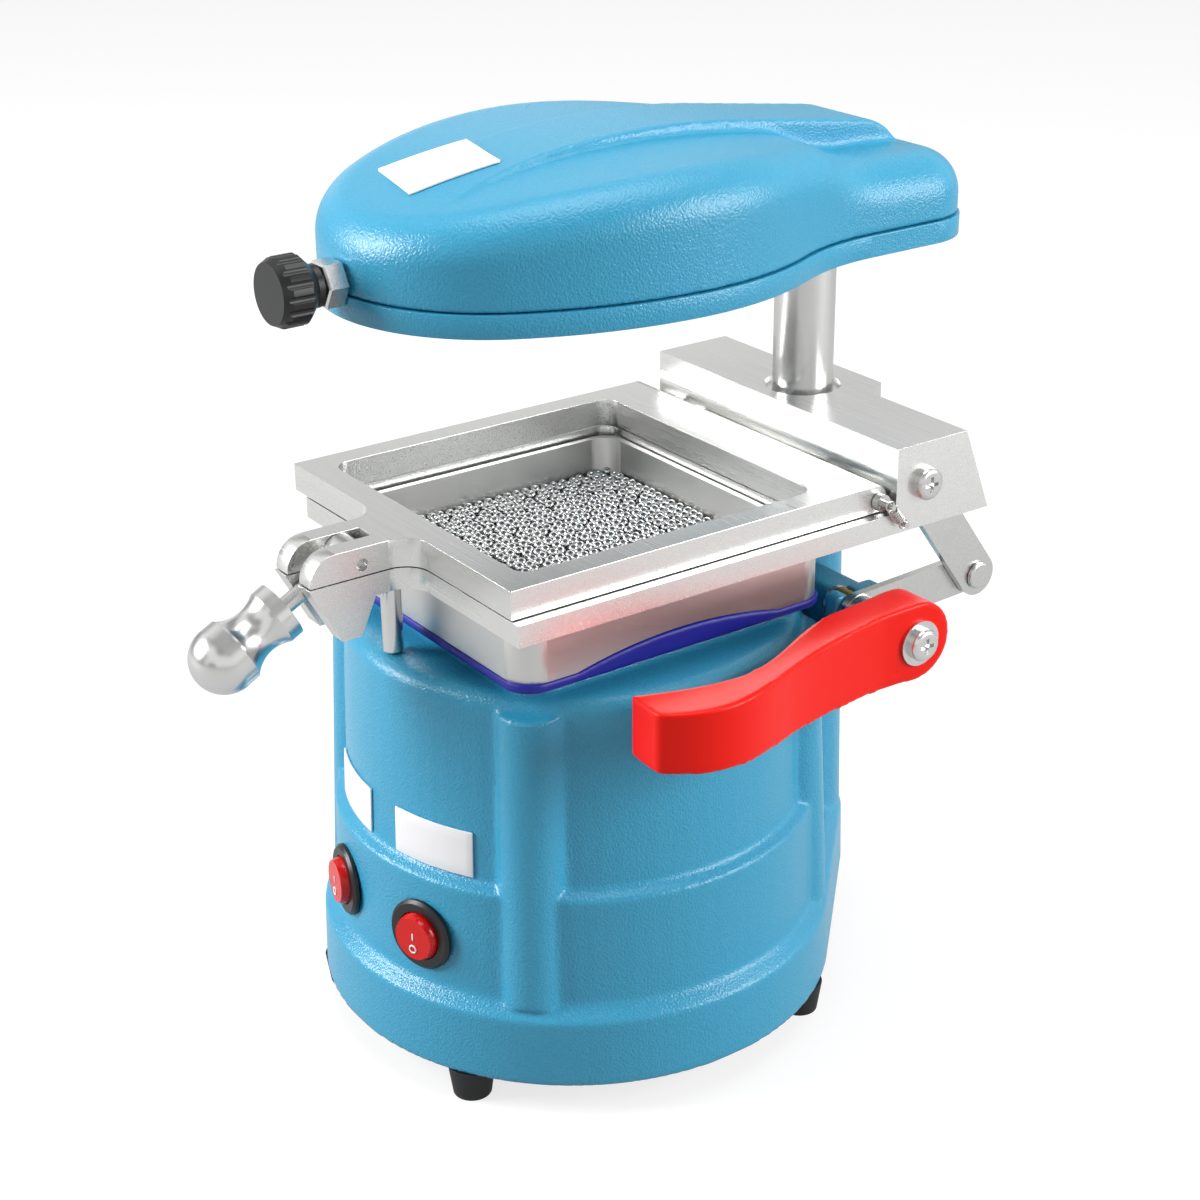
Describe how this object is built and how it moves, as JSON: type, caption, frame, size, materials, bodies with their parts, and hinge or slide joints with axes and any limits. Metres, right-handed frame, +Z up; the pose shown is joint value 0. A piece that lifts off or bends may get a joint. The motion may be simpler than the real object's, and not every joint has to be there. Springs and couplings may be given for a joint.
{
  "type": "dental vacuum former",
  "caption": "Tabletop vacuum former: round blue housing, shot pan, hinged sheet frames lifted on a rear post by a red lever, and a swivelling heater head.",
  "frame": {"origin": "under the middle of the whole machine, at the level of its feet", "axes": "+Z up, +X to the lever side, +Y to the rear post; the clamp knob is at the front, on -Y"},
  "size_m": [0.2117, 0.2928, 0.3227],
  "materials": {
    "powder_coat": "satin textured powder coat",
    "frame_aluminium": "machined and brushed",
    "pan_steel": "satin",
    "bright_steel": "ground",
    "plain_steel": "satin",
    "shot_steel": "polished balls",
    "pad_silicone": "matt blue",
    "foot_rubber": "matt black",
    "lever_red": "gloss red coat",
    "rocker_red": "translucent red",
    "black_plastic": "fine matt",
    "label_white": "satin white",
    "motor_steel": "grey",
    "ceramic": "unglazed ceramic",
    "element": "oxidised sheath",
    "bronze": "sintered bronze"
  },
  "bodies": {
    "base": {"base_housing": "powder_coat", "base_plate": "motor_steel", "rubber_feet": "foot_rubber", "foot_screws": "plain_steel", "post": "bright_steel", "post_grub_screw": "plain_steel", "shaft_bush": "bronze", "seal_pad": "pad_silicone", "shot_pan": "pan_steel", "pan_screen": "pan_steel", "steel_shot": "shot_steel", "motor_gasket": "foot_rubber", "fan_housing": "motor_steel", "fan_screws": "plain_steel", "motor_can": "motor_steel", "heat_switch": "black_plastic", "form_switch": "black_plastic", "label_plates": "label_white", "cord_gland": "black_plastic", "fuse_holder": "black_plastic", "terminal_block": "black_plastic"},
    "fan_rotor": {"impeller": "frame_aluminium", "motor_shaft": "plain_steel"},
    "carriage": {"lower_frame": "frame_aluminium", "slide_sleeve": "bright_steel", "rest_pin": "bright_steel", "hinge_pin": "plain_steel", "spring_hook": "plain_steel", "return_spring": "plain_steel", "link_screw": "plain_steel"},
    "upper_frame": {"upper_frame": "frame_aluminium", "clamp_pin": "plain_steel"},
    "swing_bolt": {"swing_bolt": "plain_steel"},
    "clamp_knob": {"clamp_knob": "bright_steel"},
    "heater_head": {"head_cover": "powder_coat", "head_tray": "powder_coat", "head_hub": "frame_aluminium", "reflector": "frame_aluminium", "element_bars": "ceramic", "heating_element": "element", "heater_terminals": "ceramic", "head_stud": "plain_steel", "head_nuts": "bright_steel", "head_handle": "black_plastic", "head_label": "label_white"},
    "lever": {"lever": "lever_red", "lever_shaft": "plain_steel", "crank_arm": "plain_steel", "shaft_spacer": "plain_steel", "crank_rivet": "plain_steel", "lever_washer": "bright_steel", "lever_screw": "bright_steel"},
    "link": {"link_bar": "plain_steel"},
    "heat_rocker": {"heat_rocker": "rocker_red"},
    "form_rocker": {"form_rocker": "rocker_red"}
  },
  "joints": [
    {"name": "carriage_lift", "type": "slide", "parent": "base", "child": "carriage", "axis": [0, 0, 1], "range_m": [0, 0.04]},
    {"name": "frame_hinge", "type": "hinge", "parent": "carriage", "child": "upper_frame", "pos_m": [-0.0102, 0.08252, 0.1946], "axis": [-1, 0, 0], "range_deg": [0, 22]},
    {"name": "clamp_swing", "type": "hinge", "parent": "upper_frame", "child": "swing_bolt", "pos_m": [-0.0102, -0.08848, 0.1942], "axis": [-1, 0, 0], "range_deg": [0, 80]},
    {"name": "knob_turn", "type": "hinge", "parent": "swing_bolt", "child": "clamp_knob", "pos_m": [-0.0102, -0.08848, 0.1942], "axis": [0, -0.8788, -0.4772], "continuous": true},
    {"name": "head_swivel", "type": "hinge", "parent": "base", "child": "heater_head", "pos_m": [-0.0102, 0.10662, 0.28], "axis": [0, 0, 1], "range_deg": [-120, 120]},
    {"name": "lever_turn", "type": "hinge", "parent": "base", "child": "lever", "pos_m": [0.0798, 0.07922, 0.1518], "axis": [1, 0, 0], "range_deg": [0, 38.81]},
    {"name": "link_turn", "type": "hinge", "parent": "lever", "child": "link", "pos_m": [0.0583, 0.13282, 0.1538], "axis": [1, 0, 0], "range_deg": [-52.05, 0]},
    {"name": "heat_rocker_tilt", "type": "hinge", "parent": "base", "child": "heat_rocker", "pos_m": [0.01834, -0.08338, 0.06003], "axis": [-0.9483, -0.3173, 0], "range_deg": [0, 24]},
    {"name": "form_rocker_tilt", "type": "hinge", "parent": "base", "child": "form_rocker", "pos_m": [-0.0289, -0.08607, 0.06003], "axis": [-0.9781, 0.2079, 0], "range_deg": [0, 24]},
    {"name": "fan_spin", "type": "hinge", "parent": "base", "child": "fan_rotor", "pos_m": [-0.0102, 0.00192, 0.13], "axis": [0, 0, 1], "continuous": true}
  ],
  "couplings": [
    {"joint": "lever_turn", "follows": "carriage_lift", "rad_per_m": 16.93},
    {"joint": "link_turn", "follows": "carriage_lift", "rad_per_m": -22.7}
  ]
}
